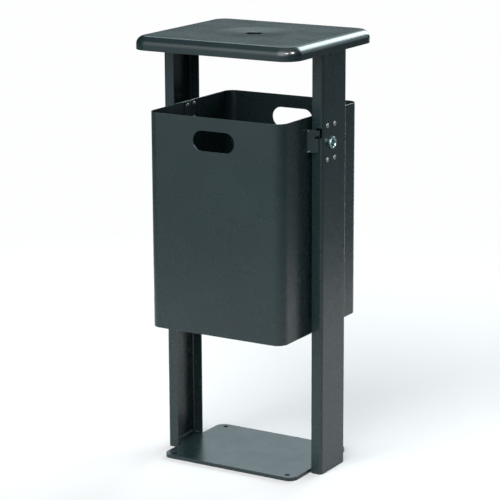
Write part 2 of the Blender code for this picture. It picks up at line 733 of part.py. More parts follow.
# ------------------------------------------------------------------ ash pan
def ash_pan():
    """Open pan under the hole, with an ear behind each side wall on the pivot."""
    shape = bmesh.new()
    size = (PAN_WIDTH, PAN_BACK - PAN_FRONT, PAN_TOP - PAN_BOTTOM)
    bmesh.ops.create_cube(shape, size=1.0)
    bmesh.ops.scale(shape, vec=size, verts=shape.verts)
    top = [face for face in shape.faces if face.normal.z > 0.5]
    bmesh.ops.delete(shape, geom=top, context="FACES_ONLY")
    upright = [edge for edge in shape.edges if abs(edge.verts[0].co.z - edge.verts[1].co.z) > 0.01]
    bmesh.ops.bevel(shape, geom=upright, offset=PAN_CORNER, segments=3, profile=0.5, affect="EDGES")
    mesh = bpy.data.meshes.new("ash_pan")
    shape.to_mesh(mesh)
    shape.free()
    made = add_object("ash_pan", mesh, GALVANISED)
    made.location = (0, (PAN_FRONT + PAN_BACK) / 2, (PAN_TOP + PAN_BOTTOM) / 2)
    skin = made.modifiers.new("sheet", "SOLIDIFY")
    skin.thickness = PAN_SHEET
    skin.offset = -1.0
    skin.use_even_offset = True
    ear = [(EAR_FRONT, EAR_TOP - 0.001), (EAR_FRONT, EAR_LOW), (PAN_AXIS_Y, PAN_AXIS_Z - EAR_RADIUS)]
    ear += arc((PAN_AXIS_Y, PAN_AXIS_Z), EAR_RADIUS, -80, 80, 8)
    ear += [(PAN_AXIS_Y, EAR_TOP - 0.0001)]
    hole = circle((PAN_AXIS_Y, PAN_AXIS_Z), RIVET_HOLE, 12)
    for side in (-1, 1):
        low, high = sorted(side * (PAN_WIDTH / 2 - inset) for inset in EAR_SHEET)
        join(made, slab("ash_pan_ear", [ear, hole], low, high, YZ, None, cutters))
    pivot = axis_empty("ash_pan_swing_axis", (0, PAN_AXIS_Y, PAN_AXIS_Z))
    ride(pivot, made)


def ash_hanger(name, side):
    """Angle welded under the hood, with the pivot hole in its hanging leg."""
    front, rear = HANGER_Y
    top = HOOD_UNDER - WELD_GAP
    leg = [(front, top), (front, PAN_AXIS_Z), (PAN_AXIS_Y - 0.0075, PAN_AXIS_Z - 0.0075)]
    leg += arc((PAN_AXIS_Y, PAN_AXIS_Z), HANGER_RADIUS, -120, -10, 6)
    leg += [(rear, HANGER_LOW), (rear, top)]
    hole = circle((PAN_AXIS_Y, PAN_AXIS_Z), RIVET_HOLE, 12)
    low, high = sorted((side * HANGER_IN, side * HANGER_OUT))
    made = slab(name, [leg, hole], low, high, YZ, COAT)
    corner = (side * (HANGER_IN + 0.0002), front + 0.0005, top - HANGER_SHEET)
    far_corner = (side * (HANGER_OUT + HANGER_FOOT), rear - 0.0005, top - 0.0001)
    join(made, block(name + "_foot", corner, far_corner, None, cutters))
    return made


def ash_pivots():
    """Rivets that the pan swings on, through each hanger and ear."""
    grip = HANGER_OUT - PAN_WIDTH / 2 + EAR_SHEET[0] + 2 * GAP
    for side_name, side in SIDES:
        made = turned(f"ash_pivot_{side_name}", rivet_profile(grip, PIVOT_HEAD, PIVOT_TAIL), 12, ZINC)
        across(made, side, HANGER_OUT + GAP, PAN_AXIS_Y, PAN_AXIS_Z)


# ------------------------------------------------------------------ assembly
base_plate()
hood()
hood_fixings()
for side_word, sign in SIDES:
    standing = post(side_word + "_post", sign)
    receiver(side_word + "_receiver", sign)
    post_cap(side_word + "_post_cap", sign)
    ash_hanger("ash_hanger_" + side_word, sign)
    if sign > 0:
        lock_hole = cylinder("lock_hole", BARREL_RADIUS + GAP, -0.01, 0.01, 24, None, cutters)
        cut(standing, across(lock_hole, sign, WEB_OUT, LOCK_Y, LOCK_Z))

draw_axis = axis_empty("basket_draw_axis", (0, RUNNER_Y, RUNNER_Z))
ride(draw_axis, basket_shell(), basket_floor())
for side_word, sign in SIDES:
    ride(draw_axis, hook_plate(side_word + "_hook_plate", sign))
    ride(draw_axis, backing_plate(side_word + "_backing_plate", sign))

rivets()
ride(draw_axis, *[made for made in parts.objects if "_basket_rivet_" in made.name])
lock()
ash_pan()
ash_pivots()
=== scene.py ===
"""Looks of the street litter bin with an ashtray in its hood.

Lengths are in metres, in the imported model's frame: +X is the lock side, -Y the front, +Z up.
"""

import json
import math

import bmesh
import bpy
from mathutils import Matrix, Vector, noise


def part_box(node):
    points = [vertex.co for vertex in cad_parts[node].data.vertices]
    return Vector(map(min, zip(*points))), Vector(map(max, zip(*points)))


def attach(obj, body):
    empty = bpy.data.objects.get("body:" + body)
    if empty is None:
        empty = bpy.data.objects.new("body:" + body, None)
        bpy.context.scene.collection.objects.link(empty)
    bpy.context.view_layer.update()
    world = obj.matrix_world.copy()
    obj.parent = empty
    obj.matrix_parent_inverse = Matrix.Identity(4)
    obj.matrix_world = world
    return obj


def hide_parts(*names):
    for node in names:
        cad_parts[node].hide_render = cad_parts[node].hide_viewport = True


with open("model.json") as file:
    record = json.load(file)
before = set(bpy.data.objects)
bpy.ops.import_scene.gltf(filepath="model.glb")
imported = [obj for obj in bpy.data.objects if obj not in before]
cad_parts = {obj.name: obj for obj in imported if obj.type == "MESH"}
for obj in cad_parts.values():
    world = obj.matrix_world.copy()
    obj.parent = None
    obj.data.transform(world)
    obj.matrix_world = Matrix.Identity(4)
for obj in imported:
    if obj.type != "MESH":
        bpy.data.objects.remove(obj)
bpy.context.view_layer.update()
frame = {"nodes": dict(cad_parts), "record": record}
nodes = frame["nodes"]

SIDES = (("left", -1), ("right", 1))
HOOD_FIXINGS = ("left_front", "left_rear", "right_front", "right_rear")
# The corners of a rectangle, anticlockwise: the signs along both axes and the start angle of each arc.
QUARTERS = ((1, 1, 0), (-1, 1, 90), (-1, -1, 180), (1, -1, 270))

# ------------------------------------------------------------------ places read from the frame
hood_low, hood_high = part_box("hood")
post_low, post_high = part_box("right_post")
shell_low, shell_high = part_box("basket_shell")
base_low, base_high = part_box("base_plate")
plate_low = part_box("right_hook_plate")[0]
bezel_low, bezel_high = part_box("lock_housing")
core_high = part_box("lock_core")[1]

# ------------------------------------------------------------------ sizes
SHEET_EDGE = 0.0004
POST_SHEET = 0.003
POST_BEND = 0.0065
HOOD_SHEET = 0.002
HOOD_CORNER = 0.042
HOOD_EDGE = 0.019
DISH_RADIUS = 0.088
DISH_DROP = 0.0026
DISH_SHOULDER = 0.005
ASH_HOLE_RADIUS = 0.0195
BASKET_SHEET = 0.0015
BASKET_CORNER = 0.0255
HANDHOLD_WIDTH = 0.107
HANDHOLD_HEIGHT = 0.046
HANDHOLD_Z = 0.777
BASE_WIDTH = 0.353
BASE_CORNER = 0.022
BASE_TAB_DEPTH = 0.096
ANCHOR_X = 0.152
ANCHOR_Y = 0.114
ANCHOR_RADIUS = 0.006
CUTOUT_X = (0.1925, 0.2060)
CUTOUT_Z = (0.782, 0.806)
CUTOUT_CORNER = 0.0012
LOCK_HOLE_RADIUS = 0.0104
WEB_OUT = post_high.x
WEB_IN = WEB_OUT - POST_SHEET
FLANGE_TIP = post_low.x
FLANGE_OUT = post_high.y
FLANGE_IN = FLANGE_OUT - POST_SHEET


# ------------------------------------------------------------------ materials
def node_material(name):
    made = bpy.data.materials.new(name)
    made.use_nodes = True
    tree = made.node_tree
    shader = tree.nodes["Principled BSDF"]
    return made, tree, shader


def add_node(tree, kind, **settings):
    node = tree.nodes.new(kind)
    for key, value in settings.items():
        if key in node.inputs:
            node.inputs[key].default_value = value
        else:
            setattr(node, key, value)
    return node


def noise_node(tree, place, scale, detail=2.0, roughness=0.5):
    node = add_node(tree, "ShaderNodeTexNoise", Scale=scale, Detail=detail, Roughness=roughness)
    tree.links.new(place, node.inputs["Vector"])
    return node.outputs["Fac"]


def remap(tree, value, low, high, out_low, out_high):
    node = tree.nodes.new("ShaderNodeMapRange")
    tree.links.new(value, node.inputs["Value"])
    node.inputs["From Min"].default_value = low
    node.inputs["From Max"].default_value = high
    node.inputs["To Min"].default_value = out_low
    node.inputs["To Max"].default_value = out_high
    return node.outputs["Result"]


def spread(tree, value, out_low, out_high):
    """Noise, which hardly leaves the range 0.3 to 0.7, stretched to another range."""
    return remap(tree, value, 0.3, 0.7, out_low, out_high)


def math_node(tree, operation, first, second):
    node = add_node(tree, "ShaderNodeMath", operation=operation)
    for socket, value in zip(node.inputs, (first, second)):
        if isinstance(value, float):
            socket.default_value = value
        else:
            tree.links.new(value, socket)
    return node.outputs["Value"]


def tinted(colour, factor):
    return tuple(factor * part for part in colour)


def mix_colour(tree, factor, first, second):
    node = add_node(tree, "ShaderNodeMix", data_type="RGBA")
    for socket, value in ((node.inputs[0], factor), (node.inputs[6], first), (node.inputs[7], second)):
        if isinstance(value, tuple):
            socket.default_value = (*value, 1.0)
        else:
            tree.links.new(value, socket)
    return node.outputs[2]


def object_place(tree):
    return tree.nodes.new("ShaderNodeTexCoord").outputs["Object"]


def bump(tree, height, strength, distance, normal=None):
    node = add_node(tree, "ShaderNodeBump", Strength=strength, Distance=distance)
    tree.links.new(height, node.inputs["Height"])
    if normal:
        tree.links.new(normal, node.inputs["Normal"])
    return node.outputs["Normal"]


def edge_mask(tree, radius, place):
    """1 on sharp edges, broken up by noise, 0 on flat faces."""
    rounded = add_node(tree, "ShaderNodeBevel", samples=4, Radius=radius)
    straight = tree.nodes.new("ShaderNodeNewGeometry")
    dot = add_node(tree, "ShaderNodeVectorMath", operation="DOT_PRODUCT")
    tree.links.new(rounded.outputs["Normal"], dot.inputs[0])
    tree.links.new(straight.outputs["Normal"], dot.inputs[1])
    edge = remap(tree, dot.outputs["Value"], 0.995, 0.86, 0.0, 1.0)
    broken = remap(tree, noise_node(tree, place, 160.0, 3.0, 0.6), 0.40, 0.62, 0.0, 1.0)
    return math_node(tree, "MULTIPLY", edge, broken)


# Painted highlight along sharp edges: the width of the edge mask, and how much lighter colour is mixed in.
EDGE_HIGHLIGHT_RADIUS = 0.0008
EDGE_HIGHLIGHT = 0.12
EDGE_POLISH = 0.12


def powder_coat(name, colour, edge_highlight, roughness):
    """Anthracite powder coat: fine orange peel, faint flecks, soft cloudiness, and a painted highlight, a
    lighter colour, on edges.
    """
    made, tree, shader = node_material(name)
    place = object_place(tree)
    clouds = spread(tree, noise_node(tree, place, 5.0, 3.0, 0.55), 0.0, 1.0)
    base = mix_colour(tree, clouds, tinted(colour, 0.90), tinted(colour, 1.12))
    fleck = remap(tree, noise_node(tree, place, 2600.0, 1.0, 0.4), 0.66, 0.74, 0.0, 0.06)
    base = mix_colour(tree, fleck, base, tinted(colour, 2.0))
    # Edges are painted in a lighter colour: a painted highlight where edges would catch the light.
    edge = math_node(tree, "MULTIPLY", edge_mask(tree, EDGE_HIGHLIGHT_RADIUS, place), EDGE_HIGHLIGHT)
    base = mix_colour(tree, edge, base, edge_highlight)
    tree.links.new(base, shader.inputs["Base Color"])
    smudge = noise_node(tree, place, 14.0, 4.0, 0.6)
    rough = spread(tree, smudge, roughness - 0.02, roughness + 0.03)
    polish = math_node(tree, "MULTIPLY", edge, EDGE_POLISH)
    tree.links.new(math_node(tree, "SUBTRACT", rough, polish), shader.inputs["Roughness"])
    peel = noise_node(tree, place, 620.0, 2.0, 0.5)
    waves = noise_node(tree, place, 90.0, 1.0, 0.5)
    normal = bump(tree, waves, 0.004, 0.0006)
    tree.links.new(bump(tree, peel, 0.010, 0.0002, normal), shader.inputs["Normal"])
    shader.inputs["IOR"].default_value = 1.5
    return made


def plated(name, colour, roughness, brushed):
    """Plated or bare metal with fine scratches and a faintly uneven bloom."""
    made, tree, shader = node_material(name)
    place = object_place(tree)
    bloom = spread(tree, noise_node(tree, place, 120.0, 4.0, 0.6), 0.0, 1.0)
    base = mix_colour(tree, bloom, tinted(colour, 0.82), colour)
    tree.links.new(base, shader.inputs["Base Color"])
    shader.inputs["Metallic"].default_value = 1.0
    smudge = noise_node(tree, place, 260.0, 3.0, 0.6)
    rough = spread(tree, smudge, roughness * 0.8, roughness * 1.25)
    tree.links.new(rough, shader.inputs["Roughness"])
    scratch = noise_node(tree, place, brushed, 2.0, 0.7)
    tree.links.new(bump(tree, scratch, 0.12, 0.0002), shader.inputs["Normal"])
    return made


def galvanised(name):
    """Zinc spangle: large flat crystals of slightly different grey."""
    made, tree, shader = node_material(name)
    place = object_place(tree)
    cells = add_node(tree, "ShaderNodeTexVoronoi", Scale=120.0, Randomness=1.0)
    tree.links.new(place, cells.inputs["Vector"])
    tone = add_node(tree, "ShaderNodeSeparateColor")
    tree.links.new(cells.outputs["Color"], tone.inputs["Color"])
    base = mix_colour(tree, tone.outputs[0], (0.27, 0.29, 0.30), (0.46, 0.48, 0.49))
    tree.links.new(base, shader.inputs["Base Color"])
    shader.inputs["Metallic"].default_value = 1.0
    rough = remap(tree, tone.outputs[1], 0.0, 1.0, 0.34, 0.56)
    tree.links.new(rough, shader.inputs["Roughness"])
    grain = noise_node(tree, place, 700.0, 2.0, 0.5)
    tree.links.new(bump(tree, grain, 0.08, 0.0002), shader.inputs["Normal"])
    return made


# The second colour of each coat is its painted edge highlight.
COAT = powder_coat("powder_coat_look", (0.0092, 0.020, 0.0218), (0.10, 0.12, 0.125), 0.27)
# The welds' base colour, lighter than the coat's, is a painted highlight standing in for the beads'
# sparkle.
WELD = powder_coat("coated_weld_look", (0.040, 0.062, 0.068), (0.16, 0.18, 0.19), 0.20)
ZINC = plated("zinc_look", (0.24, 0.26, 0.255), 0.52, 900.0)
CHROME = plated("chrome_look", (0.22, 0.31, 0.31), 0.38, 1500.0)
GALVANISED = galvanised("galvanised_look")
LOOKS = {"powder_coat": COAT, "zinc_plated": ZINC, "chrome": CHROME, "galvanised": GALVANISED}


# ------------------------------------------------------------------ mesh helpers
def arc(centre, radius, start, end, steps):
    """Points on an arc, angles in degrees, both ends included."""
    points = []
    for step in range(steps + 1):
        angle = math.radians(start + (end - start) * step / steps)
        points.append((centre[0] + radius * math.cos(angle), centre[1] + radius * math.sin(angle)))
    return points


def circle(centre, radius, steps):
    return arc(centre, radius, 0, 360, steps)[:-1]


def finish_piece(made, body, look, replaced=(), sharp=35.0):
    mesh = made.data
    mesh.materials.clear()
    mesh.materials.append(look)
    mesh.shade_smooth()
    mesh.set_sharp_from_angle(angle=math.radians(sharp))
    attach(made, body)
    if replaced:
        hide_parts(*replaced)


def piece_from(name, shape):
    """A new object at the origin from a bmesh in the frame's coordinates."""
    bmesh.ops.recalc_face_normals(shape, faces=shape.faces)
    mesh = bpy.data.meshes.new(name)
    shape.to_mesh(mesh)
    shape.free()
    made = bpy.data.objects.new(name, mesh)
    bpy.context.scene.collection.objects.link(made)
    return made


def weighted_normals(made):
    normals = made.modifiers.new("normals", "WEIGHTED_NORMAL")
    normals.keep_sharp = True


def soft_edges(made, width, segments, angle=35.0):
    """Rounded edges and face-weighted normals, so that flat faces stay flat."""
    bevel = made.modifiers.new("edges", "BEVEL")
    bevel.width = width
    bevel.segments = segments
    bevel.limit_method = "ANGLE"
    bevel.angle_limit = math.radians(angle)
    bevel.use_clamp_overlap = True
    weighted_normals(made)


def ring_loft(rings):
    """Quads between rings of equal length, with the last ring joined to the first."""
    shape = bmesh.new()
    made = [[shape.verts.new(point) for point in ring] for ring in rings]
    for first, second in zip(made, made[1:] + made[:1]):
        for i in range(len(first)):
            j = (i + 1) % len(first)
            shape.faces.new((first[i], first[j], second[j], second[i]))
    return shape


def turned(profile, steps):
    """Closed turned body about local Z from (radius, height) points; radius 0 ends it at the axis."""
    shape = bmesh.new()
    rows = []
    for radius, up in profile:
        if radius < 1e-7:
            rows.append([shape.verts.new((0.0, 0.0, up))])
        else:
            rows.append([shape.verts.new((x, y, up)) for x, y in circle((0.0, 0.0), radius, steps)])
    pairs = list(zip(rows, rows[1:]))
    if len(rows[0]) > 1:
        pairs.append((rows[-1], rows[0]))
    for first, second in pairs:
        for i in range(steps):
            j = (i + 1) % steps
            ring = [first[i % len(first)], first[j % len(first)]]
            ring += [second[j % len(second)], second[i % len(second)]]
            shape.faces.new(list(dict.fromkeys(ring)))
    return shape


def outward(side, x, y, z):
    """Local Z turned to point outwards along X on one side."""
    return Matrix.Translation((x, y, z)) @ Matrix.Rotation(side * math.pi / 2, 4, "Y")


def placed_turn(name, profile, steps, matrix):
    shape = turned(profile, steps)
    bmesh.ops.transform(shape, matrix=matrix, verts=shape.verts)
    return piece_from(name, shape)


# The planes of flat sheets: an outline's two coordinates lie along the two axes named.
XY = Matrix.Identity(4)
YZ = Matrix(((0, 0, 1, 0), (1, 0, 0, 0), (0, 1, 0, 0), (0, 0, 0, 1)))
XZ = Matrix(((1, 0, 0, 0), (0, 0, 1, 0), (0, 1, 0, 0), (0, 0, 0, 1)))


def slab(name, outlines, low, high, plane):
    """A flat sheet between two levels of the plane's third axis; the first outline is outside."""
    curve = bpy.data.curves.new(name, "CURVE")
    curve.dimensions = "2D"
    curve.fill_mode = "BOTH"
    curve.extrude = (high - low) / 2
    for outline in outlines:
        spline = curve.splines.new("POLY")
        spline.points.add(len(outline) - 1)
        for point, (across, up) in zip(spline.points, outline):
            point.co = (across, up, 0.0, 1.0)
        spline.use_cyclic_u = True
    drawn = bpy.data.objects.new(name + "_outline", curve)
    bpy.context.scene.collection.objects.link(drawn)
    bpy.context.view_layer.update()
    evaluated = drawn.evaluated_get(bpy.context.evaluated_depsgraph_get())
    mesh = bpy.data.meshes.new_from_object(evaluated)
    bpy.data.objects.remove(drawn, do_unlink=True)
    bpy.data.curves.remove(curve)
    shape = bmesh.new()
    shape.from_mesh(mesh)
    bpy.data.meshes.remove(mesh)
    bmesh.ops.remove_doubles(shape, verts=shape.verts, dist=0.00001)
    shift = plane @ Matrix.Translation((0, 0, (low + high) / 2))
    bmesh.ops.transform(shape, matrix=shift, verts=shape.verts)
    return piece_from(name, shape)


def apply_cuts(made, cutters):
    """Boolean differences, applied, with the cutters removed."""
    for cutter in cutters:
        step = made.modifiers.new("cut", "BOOLEAN")
        step.operation = "DIFFERENCE"
        step.solver = "EXACT"
        step.object = cutter
    bpy.context.view_layer.update()
    evaluated = made.evaluated_get(bpy.context.evaluated_depsgraph_get())
    mesh = bpy.data.meshes.new_from_object(evaluated)
    made.modifiers.clear()
    old = made.data
    made.data = mesh
    bpy.data.meshes.remove(old)
    for cutter in cutters:
        bpy.data.objects.remove(cutter, do_unlink=True)


def rounded_outline(centre, half_x, half_y, radius, corner_steps):
    outline = []
    for along, up, start in QUARTERS:
        middle = (centre[0] + along * (half_x - radius), centre[1] + up * (half_y - radius))
        outline += arc(middle, radius, start, start + 90, corner_steps)
    return outline


def rounded_ring(half_x, half_y, radius, z, corner_steps, straight_steps):
    """Points round a rounded rectangle, the same count whatever the inset."""
    ring = rounded_outline((0.0, 0.0), half_x, half_y, radius, corner_steps)
    full = []
    for i, point in enumerate(ring):
        full.append(Vector((*point, z)))
        if i % (corner_steps + 1) == corner_steps:
            after = ring[(i + 1) % len(ring)]
            for step in range(1, straight_steps):
                mixed = Vector((*point, z)).lerp(Vector((*after, z)), step / straight_steps)
                full.append(mixed)
    return full


# ------------------------------------------------------------------ hood
def dish_height(radius):
    """Drop of the pressed dish at a radius: flat outside, a soft shoulder, then a cone."""
    slope = DISH_DROP / (DISH_RADIUS - ASH_HOLE_RADIUS)
    inside = DISH_RADIUS - radius
    if inside <= -DISH_SHOULDER:
        return 0.0
    if inside < DISH_SHOULDER:
        return slope * (inside + DISH_SHOULDER) ** 2 / (4 * DISH_SHOULDER)
    return slope * inside


def hood_ring(inset, z):
    size = hood_high - hood_low
    return rounded_ring(size.x / 2 - inset, size.y / 2 - inset, HOOD_CORNER - inset, z, 16, 10)


def dish_ring(radius, z):
    """A circle whose points stand at the same angles as the hood's flat edge."""
    ring = []
    for point in hood_ring(HOOD_EDGE, 0.0):
        angle = math.atan2(point.y, point.x)
        ring.append(Vector((radius * math.cos(angle), radius * math.sin(angle), z)))
    return ring


def hood_bend(inset, radius, top, turns):
    """Rings round the bent edge, each at a part of the quarter turn from the side to the top."""
    rings = []
    for turn in turns:
        angle = math.pi / 2 * turn
        z = top - radius + radius * math.sin(angle)
        rings.append(hood_ring(inset + radius * (1 - math.cos(angle)), z))
    return rings


def make_hood():
    """One sheet: up its outside, down into the dish and the hole, and back along its inside."""
    top = hood_high.z
    bottom = hood_low.z
    lip = 0.0005
    turns = [step / 14 for step in range(15)]
    rings = [hood_ring(HOOD_SHEET - lip, bottom), hood_ring(lip, bottom)]
    rings += [hood_ring(lip * 0.3, bottom + lip * 0.3), hood_ring(0.0, bottom + lip)]
    rings += hood_bend(0.0, HOOD_EDGE, top, turns)
    flat = rings[-1]
    shoulder = [DISH_RADIUS + DISH_SHOULDER - 2 * DISH_SHOULDER * i / 6 for i in range(7)]
    cone = [0.070, 0.055, 0.040, 0.028, ASH_HOLE_RADIUS + 0.002, ASH_HOLE_RADIUS + 0.0008]
    outer_circle = dish_ring(shoulder[0], top)
    for part in (0.35, 0.7):
        rings.append([a.lerp(b, part) for a, b in zip(flat, outer_circle)])
    for radius in shoulder + cone:
        rings.append(dish_ring(radius, top - dish_height(radius)))
    hole_top = top - dish_height(ASH_HOLE_RADIUS)
    rings.append(dish_ring(ASH_HOLE_RADIUS + 0.0002, hole_top - 0.0002))
    rings.append(dish_ring(ASH_HOLE_RADIUS, hole_top - 0.0008))
    rings.append(dish_ring(ASH_HOLE_RADIUS, hole_top - HOOD_SHEET + 0.0004))
    for radius in reversed(shoulder + cone):
        rings.append(dish_ring(radius, top - dish_height(radius) - HOOD_SHEET))
    rings += hood_bend(HOOD_SHEET, HOOD_EDGE - HOOD_SHEET, top - HOOD_SHEET, reversed(turns))
    rings.append(hood_ring(HOOD_SHEET, bottom + lip))
    made = piece_from("hood_cap", ring_loft(rings))
    weighted_normals(made)
    finish_piece(made, "frame", COAT, ("hood",), 50.0)


def stud_profile():
    """A stud's weld collar, plain shank, thread and end, downwards from the hood."""
    length = 0.0275
    pitch = 0.001
    outer = 0.003
    root = 0.0026
    collar = 0.0042
    profile = [(0.0, 0.0005), (collar, 0.0005), (0.0040, -0.0006), (outer, -0.0012), (outer, -0.014)]
    turns = int((length - 0.0145) / pitch)
    for turn in range(turns):
        z = -0.0142 - turn * pitch
        profile += [(root, z - 0.25 * pitch), (root, z - 0.4 * pitch)]
        profile += [(outer, z - 0.7 * pitch), (outer, z - 0.9 * pitch)]
    profile += [(root, -length + 0.0002), (0.0, -length)]
    return profile


def make_studs():
    """Four threaded weld studs under the hood, each with a small collar where it is welded."""
    profile = stud_profile()
    for fixing in HOOD_FIXINGS:
        low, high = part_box(f"hood_nut_{fixing}")
        middle = (low + high) / 2
        place = Matrix.Translation((middle.x, middle.y, hood_high.z - HOOD_SHEET - 0.0003))
        made = placed_turn(f"hood_stud_{fixing}", profile, 24, place)
        finish_piece(made, "frame", ZINC, ("hood",), 40.0)


def make_nuts():
    """Chamfered hexagon nuts in place of the plain ones under the hood."""
    hole_radius = 0.0033
    for fixing in HOOD_FIXINGS:
        node = f"hood_nut_{fixing}"
        low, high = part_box(node)
        middle = (low + high) / 2
        corners = circle((middle.x, middle.y), (high.x - low.x) / 2, 6)
        hole = circle((middle.x, middle.y), hole_radius, 24)
        made = slab(f"nut_{fixing}", [corners, hole], low.z, high.z, XY)
        soft_edges(made, SHEET_EDGE, 2)
        finish_piece(made, "frame", ZINC, (node,))


# ------------------------------------------------------------------ posts and base plate
def post_outline(side):
    """A channel seen from above: its outside round both bends, then its inside back again."""
    inner = POST_BEND - POST_SHEET
    web = WEB_OUT - POST_BEND
    flank = FLANGE_OUT - POST_BEND
    outline = [(FLANGE_TIP, FLANGE_IN), (FLANGE_TIP, FLANGE_OUT)]
    outline += reversed(arc((web, flank), POST_BEND, 0, 90, 14))
    outline += reversed(arc((web, -flank), POST_BEND, -90, 0, 14))
    outline += [(FLANGE_TIP, -FLANGE_OUT), (FLANGE_TIP, -FLANGE_IN)]
    outline += arc((web, -flank), inner, -90, 0, 8)
    outline += arc((web, flank), inner, 0, 90, 8)
    return [(side * x, y) for x, y in outline]


def cutout_cutter(side):
    """The rounded window in a post's front flange where the hook plate's tongue goes in."""
    left, right = sorted(side * x for x in CUTOUT_X)
    low, high = CUTOUT_Z
    middle = ((left + right) / 2, (low + high) / 2)
    window = rounded_outline(middle, (right - left) / 2, (high - low) / 2, CUTOUT_CORNER, 4)
    return slab("cutout_cutter", [window], -FLANGE_OUT - 0.004, -FLANGE_IN + 0.002, XZ)


def lock_cutter():
    centre = ((bezel_low.y + bezel_high.y) / 2, (bezel_low.z + bezel_high.z) / 2)
    hole = circle(centre, LOCK_HOLE_RADIUS, 32)
    return slab("lock_cutter", [hole], WEB_IN - 0.003, WEB_OUT + 0.003, YZ)


def make_post(side_word, side):
    made = slab(side_word + "_channel_post", [post_outline(side)], post_low.z, post_high.z, XY)
    cutters = [cutout_cutter(side)]
    if side > 0:
        cutters.append(lock_cutter())
    apply_cuts(made, cutters)
    soft_edges(made, SHEET_EDGE, 2)
    finish_piece(made, "frame", COAT, (side_word + "_post",), 40.0)


def make_base_plate():
    tab = base_high.x
    half_tab = BASE_TAB_DEPTH / 2
    half_width = BASE_WIDTH / 2
    outline = []
    for along, up, start in QUARTERS:
        middle = (along * (half_width - BASE_CORNER), up * (base_high.y - BASE_CORNER))
        outline += arc(middle, BASE_CORNER, start, start + 90, 16)
        if along * up < 0:
            outline += [(along * half_width, up * half_tab), (along * tab, up * half_tab)]
            outline += [(along * tab, -up * half_tab), (along * half_width, -up * half_tab)]
    holes = []
    for x in (-ANCHOR_X, ANCHOR_X):
        holes += [circle((x, y), ANCHOR_RADIUS, 40) for y in (-ANCHOR_Y, ANCHOR_Y)]
    made = slab("ground_plate", [outline, *holes], base_low.z, base_high.z, XY)
    soft_edges(made, 0.0009, 3)
    finish_piece(made, "frame", COAT, ("base_plate",), 40.0)


# ------------------------------------------------------------------ basket
def hand_hold_cutters():
    """A slot with round ends through the front wall and one through the rear wall."""
    half = HANDHOLD_HEIGHT / 2
    reach = HANDHOLD_WIDTH / 2 - half
    outline = arc((reach, HANDHOLD_Z), half, -90, 90, 28) + arc((-reach, HANDHOLD_Z), half, 90, 270, 28)
    margin = 0.01
    cutters = []
    for face in (-1, 1):
        low, high = sorted((face * (shell_high.y - margin), face * (shell_high.y + margin)))
        cutters.append(slab("hand_hold_cutter", [outline], low, high, XZ))
    return cutters


def make_basket():
    size = shell_high - shell_low
    bottom = shell_low.z
    top = shell_high.z
    lip = BASKET_SHEET / 2
    lip_steps = 6

    def ring(inset, z):
        half_x, half_y = size.x / 2 - inset, size.y / 2 - inset
        return rounded_ring(half_x, half_y, BASKET_CORNER - inset, z, 14, 8)

    turns = [math.pi * step / lip_steps for step in range(lip_steps + 1)]
    heights = [bottom + lip + (top - bottom - 2 * lip) * i / 8 for i in range(1, 8)]
    rings = [ring(lip + lip * math.cos(turn), bottom + lip - lip * math.sin(turn)) for turn in turns]
    rings += [ring(0.0, z) for z in heights]
    rings += [ring(lip - lip * math.cos(turn), top - lip + lip * math.sin(turn)) for turn in turns]
    rings += [ring(BASKET_SHEET, z) for z in reversed(heights)]
    made = piece_from("basket_body", ring_loft(rings))
    apply_cuts(made, hand_hold_cutters())
    soft_edges(made, SHEET_EDGE, 2, 60.0)
    finish_piece(made, "basket", COAT, ("basket_shell",), 50.0)


# ------------------------------------------------------------------ rivets
POST_RIVET_HEAD = 0.0028
BASKET_RIVET_HEAD = 0.0025
PIVOT_HEAD = 0.0022


def rivet_profile(radius, head, length):
    """A low round head on a thin flange, the shank, and the set end, inwards from the head's top."""
    dome = head * 0.86
    shank = 0.0024
    tail = radius * 0.82
    steps = 10
    profile = [(0.0, 0.0)]
    for step in range(1, steps):
        angle = math.pi / 2 * step / steps
        profile.append((radius * math.sin(angle), -dome * (1 - math.cos(angle))))
    profile += [(radius, -dome), (radius, -head), (shank, -head), (shank, -length + 0.002)]
    profile += [(tail, -length + 0.002), (tail, -length + 0.0008)]
    profile += [(tail * 0.85, -length), (0.0, -length)]
    return profile


def rivet_heads():
    """Round-headed rivets with a fine flange line, in place of the plain ones."""
    for node in list(nodes):
        if "_rivet_" not in node and not node.startswith("ash_pivot_"):
            continue
        low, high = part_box(node)
        middle = (low + high) / 2
        basket_rivet = "_basket_rivet_" in node
        side = -1 if (middle.x < 0) != basket_rivet else 1
        head_x = low.x if side < 0 else high.x
        radius = (high.y - low.y) / 2
        head = POST_RIVET_HEAD
        if basket_rivet:
            head = BASKET_RIVET_HEAD
        elif node.startswith("ash_pivot_"):
            head = PIVOT_HEAD
        profile = rivet_profile(radius, head, high.x - low.x)
        place = outward(side, head_x, middle.y, middle.z)
        body = "basket" if basket_rivet else "frame"
        made = placed_turn(node + "_round", profile, 32, place)
        finish_piece(made, body, ZINC, (node,), 45.0)


# ------------------------------------------------------------------ lock
# Places on the lock are measured outwards from the post's outer face, along the lock's axis.
BARREL_RADIUS = 0.0100
PLUG_BORE = 0.0072
PLUG_RADIUS = 0.0070
PLUG_FACE = 0.0022
STEM_BORE = 0.0052
STEM_RADIUS = 0.0050
BORE_STEP = -0.0082
TAIL_RADIUS = 0.0040
TAIL_START = -0.0106
TAIL_END = -0.0140
KEY_REACH = 0.0046
KEY_CORNER = 0.0008
LOCK_Y = (bezel_low.y + bezel_high.y) / 2
LOCK_Z = (bezel_low.z + bezel_high.z) / 2


